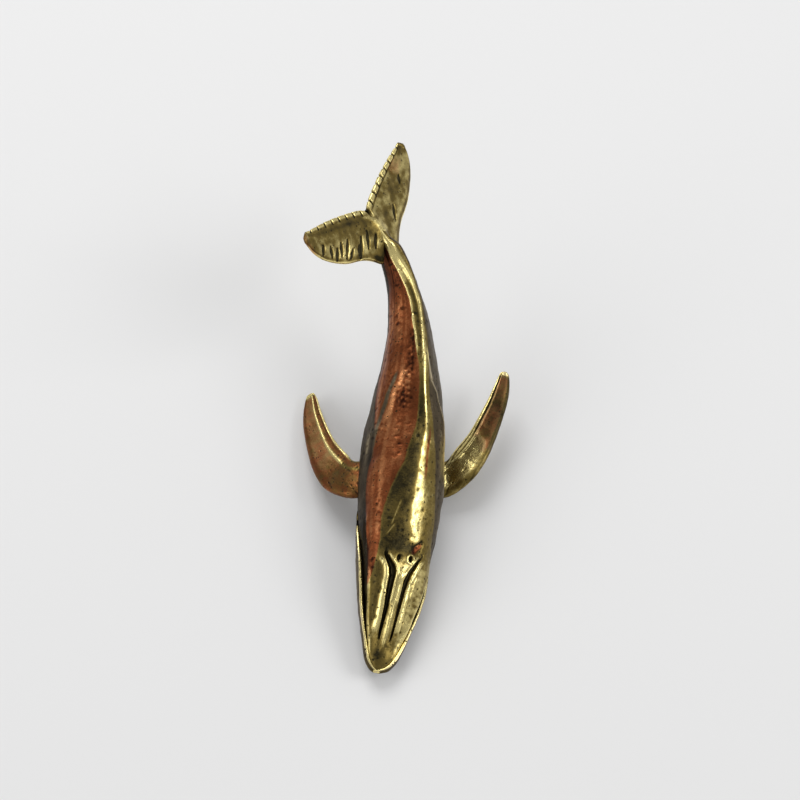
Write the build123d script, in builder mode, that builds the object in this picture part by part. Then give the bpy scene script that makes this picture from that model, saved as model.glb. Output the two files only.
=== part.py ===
from build123d import *
import math
import os

# A small cast brass humpback whale. It lies on its throat, banked to one side, with its tail lifted
# and its flippers swept back. The origin is the middle of the flat that is ground under the throat.
# The nose points to -Y, the back is up, and +X is the whale's own left. All sizes are in millimetres.

# Body
body_length = 61.4  # along the table, from the nose to the seam of the fluke
nose_reach = 16.0  # how far the nose stands ahead of the origin
body_width = 13.2
body_depth = 13.0
tail_rise = 21.8  # how far the belly climbs on its way to the tail
tail_sway = 2.5  # how far the spine bends sideways
crest_height = 0.75  # of the ridge along the back and the tail stock
ground_bite = 0.35  # how much metal lapping takes off the underside

# Rings of the body, from the nose to the seam of the fluke
length_shares = (0.0015, 0.007, 0.02, 0.042, 0.081, 0.143, 0.218, 0.298, 0.378,
                 0.456, 0.534, 0.606, 0.678, 0.749, 0.821, 0.889, 0.951, 1.0)
sway_shares = (-1.2, -1.1, -0.91, -0.76, -0.57, -0.34, -0.09, 0.08, 0.29,
               0.47, 0.6, 0.79, 0.92, 1.0, 1.0, 0.78, 0.4, -0.12)
climb_shares = (0.112, 0.099, 0.072, 0.045, 0.021, 0.006, 0, 0, 0,
                0, 0.004, 0.032, 0.2, 0.4, 0.534, 0.667, 0.791, 0.901)
width_shares = (0.06, 0.172, 0.295, 0.405, 0.525, 0.697, 0.832, 0.917, 0.973,
                1.0, 0.97, 0.89, 0.79, 0.667, 0.523, 0.394, 0.295, 0.235)
back_shares = (0.04, 0.11, 0.185, 0.254, 0.338, 0.477, 0.631, 0.769, 0.877,
               0.954, 0.985, 0.954, 0.862, 0.738, 0.615, 0.508, 0.415, 0.338)
belly_shares = (0.045, 0.12, 0.22, 0.32, 0.43, 0.585, 0.73, 0.85, 0.96,
                1.1, 1.23, 1.36, 1.1, 0.77, 0.631, 0.508, 0.4, 0.323)
crest_shares = (0, 0, 0.1, 0.3, 0.5, 0.5, 0.3, 0, 0,
                0.05, 0.2, 0.4, 0.7, 1.3, 0.95, 0.8, 0.7, 0.6)
roll_degrees = (10, 10, 10, 11, 13, 17, 22, 25, 26, 27, 27.5, 28, 27, 26, 27, 29, 32, 36)
plate_shares = (0, 0.3, 0.7, 1.0, 1.0, 1.0, 0.9, 0.55, 0.2, 0, 0, 0, 0, 0, 0, 0, 0, 0)
plate_squareness = 0.3  # how square the upper jaw is in section, where an ellipse is 0
crest_sharpness = 8
ring_points = 20

# Mouth, where the back casting sits on the throat casting inside a raised lip
jaw_step = 0.85  # how far the lower jaw stands out past the upper one
jaw_step_shares = (0.3, 0.7, 0.75, 0.75, 0.9, 1.0, 0.95, 0.7, 0.3, 0, 0, 0, 0, 0, 0, 0, 0, 0)
mouth_gap = 0.35
mouth_roll = 18.0  # degrees
mouth_shares = (0.1, 0.1, 0.12, 0.12, 0.1, 0.06, 0, -0.12, -0.4, -0.66, -0.78, -0.88, -1.25)
mouth_overrun = 6.0  # how far the cut runs on past the body
lip_rise = 0.6
lip_root = 0.5
lip_shares = (1.0, 1.0, 1.0, 1.0, 1.0, 1.0, 1.0, 0.7, -0.2)

# Pleats under the throat
pleat_width = 0.35
pleat_depth = 0.3
pleat_rings = (3, 4, 5, 6, 7, 8, 9, 10)
pleat_turns = (112, 125, 138, 222, 235, 248)  # degrees round from the back

# Blowholes
blowhole_ring = 6
blowhole_length = 1.5
blowhole_width = 0.45
blowhole_depth = 0.8
blowhole_spread = 1.3
blowhole_splay = 16.0  # degrees

# Eye slits
eye_ring = 7
eye_turn = 84.0  # degrees round from the back
eye_length = 3.0
eye_width = 0.7
eye_depth = 0.35

# Flippers
flipper_length = 20.2
flipper_chord = 5.1
flipper_thickness = 1.7
flipper_lead_along_shares = (-0.14, 0.02, 0.14, 0.3, 0.46, 0.62, 0.78, 0.91, 0.985)
flipper_lead_out_shares = (0.3, 0.78, 0.93, 0.96, 0.88, 0.76, 0.58, 0.34, 0.12)
flipper_trail_along_shares = (0.12, 0.2, 0.3, 0.43, 0.56, 0.69, 0.82, 0.92, 0.985)
flipper_trail_out_shares = (-0.4, -0.25, -0.16, -0.06, -0.04, -0.05, -0.09, -0.13, -0.1)
flipper_thickness_shares = (1.1, 1.0, 0.95, 0.9, 0.85, 0.8, 0.7, 0.55, 0.35)
flipper_bury = 3.6  # how far the blank of a flipper runs on inside the body
right_flipper_ring = 9
right_flipper_turn = -118.0  # degrees round from the back
right_flipper_shift_shares = (0.26, 0, 0.215)  # of the chord: to the tail, up the flank, out of it
right_flipper_along = (-0.35, 0.91, -0.24)
right_flipper_face = (-0.43, 0.07, 0.90)
right_flipper_inward = (0.97, 0.09, 0.2)
left_flipper_ring = 10
left_flipper_turn = 95.0  # degrees round from the back
left_flipper_shift_shares = (-0.27, 0, 0.335)
left_flipper_along = (0.48, 0.85, 0.22)
left_flipper_face = (-0.46, 0.02, 0.89)
left_flipper_inward = (-0.82, 0.08, 0.565)

# Fluke
fluke_span = 29.6
fluke_length = 12.7
fluke_thickness = 2.0
fluke_lead_out_shares = (0, 0.13, 0.24, 0.42, 0.6, 0.78, 0.91, 0.98, 1.0)
fluke_lead_along_shares = (-0.04, -0.02, 0.08, 0.23, 0.32, 0.46, 0.61, 0.76, 0.88)
fluke_trail_out_shares = (0, 0.08, 0.18, 0.35, 0.55, 0.73, 0.84, 0.9, 0.93)
fluke_trail_along_shares = (0.64, 0.71, 0.76, 0.83, 0.9, 0.95, 0.975, 0.99, 1.0)
fluke_thickness_shares = (1.0, 0.9, 0.8, 0.7, 0.6, 0.52, 0.45, 0.38, 0.3)
fluke_shift_shares = (-0.023, 0, 0.024)  # of the body's depth, from the end of the spine
fluke_across = (0.49, 0.82, -0.28)
fluke_face = (0.75, -0.24, 0.62)
hub_reach = 4.5
hub_width = 2.6
hub_depth = 2.0
notch_radius = 0.35

# Tenons that hold the flippers and the fluke
tenon_radius = 0.7
tenon_length = 3.0
tenon_clearance = 0.03
right_tenon_start_share = 0.1  # of the way in from the flipper's root
left_tenon_start_share = 0.14
braze_gap = 0.02

# A blade's section, as shares of its chord and of half its thickness
section_chord_shares = (0, 0.04, 0.25, 0.55, 0.85, 1.0)
section_face_shares = (0, 0.45, 0.95, 0.9, 0.45, 0)

os.makedirs("parts", exist_ok=True)

last_ring = len(length_shares) - 1
mouth_tilt = math.radians(mouth_roll)
mouth_plane = Plane(origin=(0, 0, 0), x_dir=(0, 1, 0), z_dir=(math.cos(mouth_tilt), 0, -math.sin(mouth_tilt)))


def spine_point(ring):
    """The middle of a ring of the body."""
    return Vector(
        tail_sway * sway_shares[ring],
        body_length * length_shares[ring] - nose_reach,
        tail_rise * climb_shares[ring] - ground_bite + body_depth / 2 * belly_shares[ring],
    )


def spine_direction(ring):
    """The way the spine runs at a ring, towards the tail."""
    return (spine_point(min(ring + 1, last_ring)) - spine_point(max(ring - 1, 0))).normalized()


def ring_plane(ring):
    """The plane of a ring: x to the whale's left, y out of its back, z to the nose."""
    along = spine_direction(ring)
    level = along.cross(Vector(0, 0, 1)).normalized()
    upright = level.cross(along)
    roll = math.radians(roll_degrees[ring])
    return Plane(
        origin=spine_point(ring),
        x_dir=level * math.cos(roll) - upright * math.sin(roll),
        z_dir=-along,
    )


def ring_outline(half_width, back, belly, crest=0.0, plate=0.0):
    """Points round a ring, from the top over the whale's left side."""
    points = []
    for step in range(ring_points):
        side = math.sin(2 * math.pi * step / ring_points)
        rise = math.cos(2 * math.pi * step / ring_points)
        power = 1 - plate_squareness * plate if rise > 0 else 1
        points.append(Vector(
            half_width * math.copysign(abs(side) ** power, side),
            (back if rise > 0 else belly) * math.copysign(abs(rise) ** power, rise)
            + crest * max(rise, 0) ** crest_sharpness,
        ))
    return points


def closed_ring(plane, points):
    """A face whose edge runs smoothly through the points."""
    with BuildSketch(plane) as ring:
        with BuildLine():
            add(Edge.make_spline(points, periodic=True, parameters=list(range(len(points) + 1))))
        make_face()
    return ring.sketch


def body_ring(ring, inset=0.0, swell=0.0):
    """A ring of the body, drawn in at its sides by the step of the jaw or swollen all round."""
    outline = ring_outline(
        body_width / 2 * width_shares[ring] - inset * jaw_step_shares[ring] + swell,
        body_depth / 2 * back_shares[ring] + swell,
        body_depth / 2 * belly_shares[ring] + swell,
        crest_height * crest_shares[ring],
        plate_shares[ring],
    )
    return closed_ring(ring_plane(ring), outline)


def flank_plane(ring, turn):
    """The plane that lies on the skin, turn degrees round from the back: x to the tail, z outwards."""
    rise = math.cos(math.radians(turn)) * body_depth / 2
    rise *= back_shares[ring] if rise > 0 else belly_shares[ring]
    side = math.sin(math.radians(turn)) * body_width / 2 * width_shares[ring]
    skin = ring_plane(ring).from_local_coords(Vector(side, rise, 0))
    return Plane(origin=skin, x_dir=spine_direction(ring), z_dir=skin - spine_point(ring))


def mouth_point(ring, lift):
    """A point of the mouth line seen from the side."""
    rise = body_depth / 2 * belly_shares[ring] * mouth_shares[ring] + lift
    place = mouth_plane.to_local_coords(ring_plane(ring).from_local_coords(Vector(0, rise, 0)))
    return (place.X, place.Y)


def blade_section(front, back, face, thickness):
    """A leaf-shaped section between the leading and the trailing edge of a blade."""
    chord = back - front
    upper = [(chord.length * share, thickness / 2 * bulge)
             for share, bulge in zip(section_chord_shares, section_face_shares)]
    lower = [(along, -rise) for along, rise in reversed(upper)]
    with BuildSketch(Plane(origin=front, x_dir=chord, z_dir=chord.cross(face))) as section:
        with BuildLine():
            Spline(*upper)
            Spline(*lower)
        make_face()
    return section.sketch


def flipper_root(ring, turn, shift_shares):
    """The root of a flipper, beside a place on the skin of the body."""
    return flank_plane(ring, turn).from_local_coords(Vector(*shift_shares) * flipper_chord)


def flipper_sections(root, along, face, inward, side):
    """Sections of a flipper between the inside of the body and its tip. Side is 1 or -1."""
    plane = Plane(origin=root, x_dir=along, z_dir=face)
    outward = plane.z_dir * -side
    sections = []
    for station in range(len(flipper_thickness_shares)):
        front = plane.from_local_coords(Vector(
            flipper_length * flipper_lead_along_shares[station],
            side * flipper_chord * flipper_lead_out_shares[station],
        ))
        back = plane.from_local_coords(Vector(
            flipper_length * flipper_trail_along_shares[station],
            side * flipper_chord * flipper_trail_out_shares[station],
        ))
        thickness = flipper_thickness * flipper_thickness_shares[station]
        if station == 0:
            turned = (back - front).cross(inward).normalized()
            sections.append(blade_section(front + inward, back + inward, turned, thickness))
            sections.append(blade_section(front, back, turned + outward, thickness))
        else:
            sections.append(blade_section(front, back, outward, thickness))
    return sections


def flipper_tenon_plane(root, along, face, inward, side, start_share):
    """Where a flipper's tenon starts, in the heart of its root, pointing into the body."""
    plane = Plane(origin=root, x_dir=along, z_dir=face)
    middle = plane.from_local_coords(Vector(
        flipper_length * (flipper_lead_along_shares[0] + flipper_trail_along_shares[0]) / 2,
        side * flipper_chord * (flipper_lead_out_shares[0] + flipper_trail_out_shares[0]) / 2,
    ))
    return Plane(origin=middle + inward * start_share, z_dir=inward)


# Blank of the whole body, which the castings share.
with BuildPart() as body_blank:
    loft(sections=[body_ring(ring) for ring in range(last_ring + 1)])

# The same blank with room for the braze round it.
with BuildPart() as brazed_blank:
    loft(sections=[body_ring(ring, swell=braze_gap) for ring in range(last_ring + 1)])

# Everything under the mouth line.
mouth_line = [mouth_point(ring, 0) for ring in range(len(mouth_shares))]
mouth_front = (mouth_line[0][0] - mouth_overrun, mouth_line[0][1])
mouth_back = (mouth_line[-1][0] + mouth_overrun / 4, mouth_line[-1][1] - mouth_overrun)
with BuildPart() as under_mouth:
    with BuildSketch(mouth_plane):
        with BuildLine():
            Line(mouth_front, mouth_line[0])
            Spline(*mouth_line)
            Polyline(mouth_line[-1], mouth_back, (mouth_front[0], mouth_back[1]), mouth_front)
        make_face()
    extrude(amount=body_width, both=True)

# Room for the upper jaw inside the lip.
with BuildPart() as palate:
    loft(sections=[body_ring(ring, jaw_step, mouth_gap) for ring in range(1, len(lip_shares) + 2)])

# Raised lip round the upper jaw.
lip_line = [mouth_point(ring, lip_rise * share) for ring, share in enumerate(lip_shares)]
lip_base = [mouth_point(ring, -lip_root) for ring in reversed(range(len(lip_shares)))]
with BuildPart() as lip:
    with BuildSketch(mouth_plane):
        with BuildLine():
            Spline(*lip_line)
            Line(lip_line[-1], lip_base[0])
            Spline(*lip_base)
            Polyline(lip_base[-1], (mouth_front[0], lip_base[-1][1]), (mouth_front[0], lip_line[0][1]), lip_line[0])
        make_face()
    extrude(amount=body_width, both=True)
    add(palate.part, mode=Mode.SUBTRACT)
    add(body_blank.part, mode=Mode.INTERSECT)

# Flippers. One casting each, their root faces follow the skin of the body.
right_root = flipper_root(right_flipper_ring, right_flipper_turn, right_flipper_shift_shares)
left_root = flipper_root(left_flipper_ring, left_flipper_turn, left_flipper_shift_shares)
right_inward = Vector(*right_flipper_inward).normalized() * flipper_bury
left_inward = Vector(*left_flipper_inward).normalized() * flipper_bury
right_pose = (right_root, right_flipper_along, right_flipper_face, right_inward, 1)
left_pose = (left_root, left_flipper_along, left_flipper_face, left_inward, -1)
right_tenon_plane = flipper_tenon_plane(*right_pose, right_tenon_start_share)
left_tenon_plane = flipper_tenon_plane(*left_pose, left_tenon_start_share)
from_base = (Align.CENTER, Align.CENTER, Align.MIN)

with BuildPart() as right_flipper:
    loft(sections=flipper_sections(*right_pose))
    add(brazed_blank.part, mode=Mode.SUBTRACT)
    with Locations(right_tenon_plane):
        Cylinder(tenon_radius, flipper_bury + tenon_length, align=from_base)

with BuildPart() as left_flipper:
    loft(sections=flipper_sections(*left_pose))
    add(brazed_blank.part, mode=Mode.SUBTRACT)
    with Locations(left_tenon_plane):
        Cylinder(tenon_radius, flipper_bury + tenon_length, align=from_base)

# Fluke. Two lobes and a short hub in one casting, with a tenon into the tail stock.
fluke_root = spine_point(last_ring) + Vector(*fluke_shift_shares) * body_depth
fluke_plane = Plane(origin=fluke_root, x_dir=fluke_across, z_dir=fluke_face)
stock_plane = Plane(origin=spine_point(last_ring), z_dir=-spine_direction(last_ring))
lobe_sections = []
trail_points = []
for station in range(len(fluke_thickness_shares)):
    front = Vector(fluke_span / 2 * fluke_lead_out_shares[station], fluke_length * fluke_lead_along_shares[station])
    back = Vector(fluke_span / 2 * fluke_trail_out_shares[station], fluke_length * fluke_trail_along_shares[station])
    trail_points.append(back)
    lobe_sections.append(blade_section(
        fluke_plane.from_local_coords(front),
        fluke_plane.from_local_coords(back),
        fluke_plane.z_dir,
        fluke_thickness * fluke_thickness_shares[station],
    ))
hub_plane = Plane(
    origin=fluke_plane.from_local_coords(Vector(0, hub_reach)),
    x_dir=fluke_plane.x_dir,
    z_dir=-fluke_plane.y_dir,
)
with BuildPart() as tail_fluke:
    loft(sections=lobe_sections)
    mirror(about=Plane(origin=fluke_root, z_dir=fluke_plane.x_dir))
    loft(sections=[
        body_ring(last_ring),
        closed_ring(hub_plane, ring_outline(hub_width / 2, hub_depth / 2, hub_depth / 2)),
    ])
    add(brazed_blank.part, mode=Mode.SUBTRACT)
    # A row of notches along the trailing edge.
    for before, after in zip(trail_points[1:], trail_points[2:]):
        notch = (before + after) / 2
        for side in (-1, 1):
            with Locations(fluke_plane * Pos(side * notch.X, notch.Y)):
                Cylinder(notch_radius, fluke_thickness, mode=Mode.SUBTRACT)
    with Locations(stock_plane):
        Cylinder(tenon_radius, tenon_length, align=from_base)
        Cylinder(tenon_radius, hub_reach / 2, align=(Align.CENTER, Align.CENTER, Align.MAX))

# Throat. Lower jaw with its lip, pleated underneath and ground flat to rest on.
with BuildPart() as throat_casting:
    add(body_blank.part)
    add(under_mouth.part, mode=Mode.INTERSECT)
    add(lip.part)
    split(bisect_by=Plane.XY, keep=Keep.TOP)
    for turn in pleat_turns:
        skin = [flank_plane(ring, turn).origin for ring in pleat_rings]
        heart = spine_point(pleat_rings[len(pleat_rings) // 2])
        run = skin[-1] - skin[0]
        pleat_plane = Plane(origin=heart, x_dir=run, z_dir=run.cross(skin[len(skin) // 2] - heart))
        floor = [pleat_plane.to_local_coords(point) - Vector(0, pleat_depth) for point in skin]
        front = Vector(floor[0].X, floor[0].Y + body_depth / 2)
        back = Vector(floor[-1].X, floor[-1].Y + body_depth / 2)
        with BuildSketch(pleat_plane):
            with BuildLine():
                Spline(*[(point.X, point.Y) for point in floor])
                Polyline((floor[-1].X, floor[-1].Y), (back.X, back.Y), (front.X, front.Y), (floor[0].X, floor[0].Y))
            make_face()
        extrude(amount=pleat_width / 2, both=True, mode=Mode.SUBTRACT)

# Back. Upper jaw, flanks and tail stock in one casting, seated on the throat.
crown_plane = flank_plane(blowhole_ring, 0)
with BuildPart() as back_casting:
    loft(sections=[body_ring(ring, jaw_step) for ring in range(1, last_ring + 1)])
    add(under_mouth.part, mode=Mode.SUBTRACT)
    for side in (-1, 1):
        with BuildSketch(crown_plane * Pos(0, side * blowhole_spread / 2)):
            SlotOverall(blowhole_length, blowhole_width, rotation=side * blowhole_splay)
        extrude(amount=blowhole_depth, both=True, mode=Mode.SUBTRACT)
        with BuildSketch(flank_plane(eye_ring, side * eye_turn)):
            SlotOverall(eye_length, eye_width)
        extrude(amount=eye_depth, both=True, mode=Mode.SUBTRACT)
    with Locations(right_tenon_plane, left_tenon_plane):
        Cylinder(tenon_radius + tenon_clearance, flipper_bury + tenon_length + tenon_clearance,
                 align=from_base, mode=Mode.SUBTRACT)
    with Locations(stock_plane):
        Cylinder(tenon_radius + tenon_clearance, tenon_length + tenon_clearance,
                 align=from_base, mode=Mode.SUBTRACT)

back_casting.part.label = "back_casting"
export_step(back_casting.part, "parts/back_casting.step")
throat_casting.part.label = "throat_casting"
export_step(throat_casting.part, "parts/throat_casting.step")
right_flipper.part.label = "right_flipper"
export_step(right_flipper.part, "parts/right_flipper.step")
left_flipper.part.label = "left_flipper"
export_step(left_flipper.part, "parts/left_flipper.step")
tail_fluke.part.label = "tail_fluke"
export_step(tail_fluke.part, "parts/tail_fluke.step")
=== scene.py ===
import math

import bpy
import numpy as np
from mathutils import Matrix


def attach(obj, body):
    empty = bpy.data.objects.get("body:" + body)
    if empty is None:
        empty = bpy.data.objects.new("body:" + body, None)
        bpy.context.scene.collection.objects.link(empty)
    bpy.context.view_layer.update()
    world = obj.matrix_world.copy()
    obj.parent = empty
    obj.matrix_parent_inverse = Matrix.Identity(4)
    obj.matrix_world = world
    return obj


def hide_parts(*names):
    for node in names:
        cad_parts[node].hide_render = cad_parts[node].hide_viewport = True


# A small cast brass humpback whale lying on a table on its throat. Its nose points to -Y and its
# back is up. The origin is the middle of the flat ground under its throat. Sizes are in metres,
# and places on the skin are read in millimetres along the whale and in degrees round it.

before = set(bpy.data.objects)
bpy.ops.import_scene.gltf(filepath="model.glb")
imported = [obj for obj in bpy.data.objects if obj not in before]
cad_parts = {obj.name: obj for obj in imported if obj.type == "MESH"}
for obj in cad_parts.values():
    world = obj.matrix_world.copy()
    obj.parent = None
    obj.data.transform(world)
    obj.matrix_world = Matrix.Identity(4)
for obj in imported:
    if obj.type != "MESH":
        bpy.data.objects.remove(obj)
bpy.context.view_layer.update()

# Camera. It looks down at 60 degrees over the whale's head, as the photograph does, from about
# 28 cm away.
camera_data = bpy.data.cameras.new("camera")
camera_data.sensor_width = 36.0
camera_data.lens = 80.77
camera = bpy.data.objects.new("camera", camera_data)
camera.location = (0.001, -0.1138, 0.2526)
camera.rotation_euler = (math.radians(30.0), 0.0, 0.0)
bpy.context.scene.collection.objects.link(camera)
bpy.context.scene.camera = camera

# Back casting. Upper jaw, flanks and tail stock in one piece of solid brass. It is cast, filed along
# its ridges, darkened all over and rubbed bright again on what stands out. Its right flank has
# turned copper-red and its left one grey. Painted shade and painted highlights also lie on it.
mm = 0.001
body_length = 61.4 * mm
nose_reach = 16.0 * mm
body_width = 13.2 * mm
body_depth = 13.0 * mm
tail_rise = 21.8 * mm
tail_sway = 2.5 * mm
crest_height = 0.75 * mm
ground_bite = 0.35 * mm
# Each table has a value for each of 18 rings, from the nose to the end of the tail stock. Most are
# shares of the size that they go with.
length_shares = (0.0015, 0.007, 0.02, 0.042, 0.081, 0.143, 0.218, 0.298, 0.378,
                 0.456, 0.534, 0.606, 0.678, 0.749, 0.821, 0.889, 0.951, 1.0)
sway_shares = (-1.02, -0.98, -0.89, -0.76, -0.57, -0.34, -0.09, 0.08, 0.29,
               0.47, 0.6, 0.79, 0.92, 1.0, 1.0, 0.78, 0.4, -0.12)
climb_shares = (0.112, 0.099, 0.072, 0.045, 0.021, 0.006, 0, 0, 0,
                0, 0.004, 0.032, 0.2, 0.4, 0.534, 0.667, 0.791, 0.901)
width_shares = (0.11, 0.215, 0.32, 0.415, 0.525, 0.697, 0.832, 0.917, 0.973,
                1.0, 0.97, 0.89, 0.79, 0.667, 0.523, 0.394, 0.295, 0.235)
back_shares = (0.04, 0.11, 0.185, 0.254, 0.338, 0.477, 0.631, 0.769, 0.877,
               0.954, 0.985, 0.954, 0.862, 0.738, 0.615, 0.508, 0.415, 0.338)
belly_shares = (0.045, 0.12, 0.22, 0.32, 0.43, 0.585, 0.73, 0.85, 0.96,
                1.1, 1.23, 1.36, 1.1, 0.77, 0.631, 0.508, 0.4, 0.323)
crest_shares = (0, 0, 0, 0, 0, 0, 0, 0, 0,
                0.05, 0.2, 0.4, 0.7, 1.3, 0.95, 0.8, 0.7, 0.6)
roll_degrees = (10, 10, 10, 11, 13, 17, 22, 25, 26, 27, 27.5, 28, 27, 26, 27, 29, 32, 36)
plate_shares = (0, 0.3, 0.7, 1.0, 1.0, 1.0, 0.9, 0.55, 0.2, 0, 0, 0, 0, 0, 0, 0, 0, 0)
plate_squareness = 0.3
crest_sharpness = 8
jaw_step = 0.85 * mm
jaw_step_shares = (0.3, 0.7, 0.75, 0.75, 0.9, 1.0, 0.95, 0.7, 0.3, 0, 0, 0, 0, 0, 0, 0, 0, 0)
mouth_shares = (0.1, 0.1, 0.12, 0.12, 0.1, 0.06, 0, -0.12, -0.4,
                -0.66, -0.78, -0.88, -1.0, -1.0, -1.0, -1.0, -1.0, -1.0)


def eased(f, start, leaving, end, arriving):
    """From start to end as f goes from 0 to 1, with the slopes it leaves and arrives by."""
    return ((2 * f**3 - 3 * f**2 + 1) * start + (f**3 - 2 * f**2 + f) * leaving
            + (3 * f**2 - 2 * f**3) * end + (f**3 - f**2) * arriving)


def through(values, at):
    """A smooth curve through values given at whole numbers, read at each place in at."""
    values = np.asarray(values, float)
    count = len(values)
    beside = np.ones(count - 1)
    system = np.diag(np.full(count, 4.0)) + np.diag(beside, 1) + np.diag(beside, -1)
    system[0, 0] = system[-1, -1] = 2.0
    ahead = np.concatenate((values[1:], values[-1:]))
    behind = np.concatenate((values[:1], values[:-1]))
    slope = np.linalg.solve(system, 3.0 * (ahead - behind))
    cell = np.clip(np.floor(at).astype(int), 0, count - 2)
    f = (at - cell).reshape((-1,) + (1,) * (values.ndim - 1))
    return eased(f, values[cell], slope[cell], values[cell + 1], slope[cell + 1])


def unit(vectors):
    """The same directions, each of length 1."""
    return vectors / np.maximum(np.linalg.norm(vectors, axis=-1, keepdims=True), 1e-12)


def body_frame(at):
    """Middle, left, up and tailward directions of the body at places counted in rings."""
    middle = np.stack((
        through(sway_shares, at) * tail_sway,
        through(length_shares, at) * body_length - nose_reach,
        through(climb_shares, at) * tail_rise - ground_bite + through(belly_shares, at) * body_depth / 2,
    ), axis=-1)
    tailward = unit(np.gradient(middle, axis=0))
    level = unit(np.cross(tailward, (0.0, 0.0, 1.0)))
    roll = np.radians(through(roll_degrees, at))[:, None]
    left = level * np.cos(roll) - np.cross(level, tailward) * np.sin(roll)
    return middle, left, np.cross(left, tailward), tailward


def half_width_at(at, inset):
    """Half the width of the body at each ring, less the step of the upper jaw where it is inset."""
    return (through(width_shares, at) * body_width / 2 - inset * through(jaw_step_shares, at))[:, None]


def half_depth_at(at, shares):
    """Half the depth of the body at each ring, above or below its middle."""
    return (through(shares, at) * body_depth / 2)[:, None]


def ring_sides(at, turns, inset):
    """Sideways and upward reach of the body's skin, for turns from the back towards the left."""
    back, belly = half_depth_at(at, back_shares), half_depth_at(at, belly_shares)
    crest = (through(crest_shares, at) * crest_height)[:, None]
    square = (1.0 - plate_squareness * np.clip(through(plate_shares, at), 0, 1))[:, None]
    sine, cosine = np.sin(turns), np.cos(turns)
    power = np.where(cosine > 0, square, 1.0)
    side = half_width_at(at, inset) * np.sign(sine) * np.abs(sine) ** power
    rise = np.where(cosine > 0, back, belly) * np.sign(cosine) * np.abs(cosine) ** power
    return side, rise + crest * np.maximum(cosine, 0) ** crest_sharpness


def skin_points(middle, left, up, side, rise):
    """Points round a line of middles, each at its reach to the side and upwards."""
    return middle[:, None] + side[..., None] * left[:, None] + rise[..., None] * up[:, None]


def outward(points):
    """Directions out of a closed tube of points."""
    along = np.gradient(points, axis=0)
    around = np.roll(points, -1, axis=1) - np.roll(points, 1, axis=1)
    normals = unit(np.cross(around, along))
    from_middle = points - points.mean(axis=1, keepdims=True)
    return normals if np.sum(normals * from_middle) > 0 else -normals


def rising(values, low, high):
    """0 under low, 1 over high and smooth between."""
    share = np.clip((values - low) / (high - low), 0.0, 1.0)
    return share * share * (3.0 - 2.0 * share)


def between(values, low, high, edge):
    """1 between low and high, falling off to 0 over the width of the edge."""
    return rising(values, low - edge, low) * (1 - rising(values, high, high + edge))


def hill(values, centre, width):
    """A soft hill of height 1."""
    return np.exp(-(((values - centre) / width) ** 2))


def trough(values, centre, width):
    """A trough of depth 1 with a flat floor and steep walls."""
    return np.exp(-(np.abs((values - centre) / width) ** 3))


def well(along, across):
    """A round well of depth 1 with a flat floor and steep walls, out to where both reach 1."""
    return np.exp(-((along**2 + across**2) ** 2))


def uneven(points, size, seed, layers=3):
    """Soft unevenness of a hand-finished casting, between about -1 and 1. Each layer of waves is
    finer and weaker than the one before."""
    waves, finer, weaker, evening = 7, 1.7, 1.6, 4.5
    source = np.random.default_rng(seed)
    total = np.zeros(points.shape[:-1])
    for layer in range(layers):
        turn_rate = 2 * math.pi * finer**layer / size
        for _ in range(waves):
            way = unit(source.normal(size=3))
            total += np.sin(points @ way * turn_rate + source.uniform(0, 6.283)) / weaker**layer
    return total / evening


def laid(features):
    """The height in millimetres and the relief of the skin, from shapes that each have their own."""
    height = sum(lift * shape for shape, lift, _ in features)
    relief = sum(shine * shape for shape, _, shine in features)
    return height, relief


def limited(relief):
    """Relief kept within what the patina shows."""
    return np.clip(relief, -1.1, 1.1)


def tube_object(name, points, marks):
    """A closed mesh over rows of points, with numbers kept at each point under a name."""
    rows, columns = points.shape[:2]
    index = np.arange(rows * columns).reshape(rows, columns)
    following = np.roll(index, -1, axis=1)
    quads = np.stack((index[:-1], following[:-1], following[1:], index[1:]), axis=-1).reshape(-1, 4)
    first, last = rows * columns, rows * columns + 1
    first_fan = np.stack((np.full(columns, first), following[0], index[0]), axis=-1)
    last_fan = np.stack((np.full(columns, last), index[-1], following[-1]), axis=-1)
    ends = np.stack((points[0].mean(axis=0), points[-1].mean(axis=0)))
    mesh = bpy.data.meshes.new(name)
    mesh.from_pydata(np.concatenate((points.reshape(-1, 3), ends)).tolist(), [],
                     quads.tolist() + first_fan.tolist() + last_fan.tolist())
    for mark, values in marks.items():
        layer = mesh.attributes.new(mark, "FLOAT", "POINT")
        flat = np.concatenate((values.reshape(-1), (values[0].mean(), values[-1].mean())))
        layer.data.foreach_set("value", flat.astype(np.float32))
    mesh.update()
    beside = np.roll(points, -1, axis=1)
    if np.einsum("ijk,ijk->", points[:-1], np.cross(beside[:-1], points[1:])) < 0:
        mesh.flip_normals()
    mesh.shade_smooth()
    rounded = np.ones(len(mesh.polygons), bool)
    rounded[len(quads):] = False
    mesh.polygons.foreach_set("use_smooth", rounded)
    piece = bpy.data.objects.new(name, mesh)
    bpy.context.scene.collection.objects.link(piece)
    return piece


def maths_in(tree):
    """A helper that adds an arithmetic node to a tree and gives its result."""
    def maths(operation, *values):
        node = tree.nodes.new("ShaderNodeMath")
        node.operation = operation
        for socket, value in zip(node.inputs, values):
            if isinstance(value, (int, float)):
                socket.default_value = value
            else:
                tree.links.new(value, socket)
        return node.outputs[0]
    return maths


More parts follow.
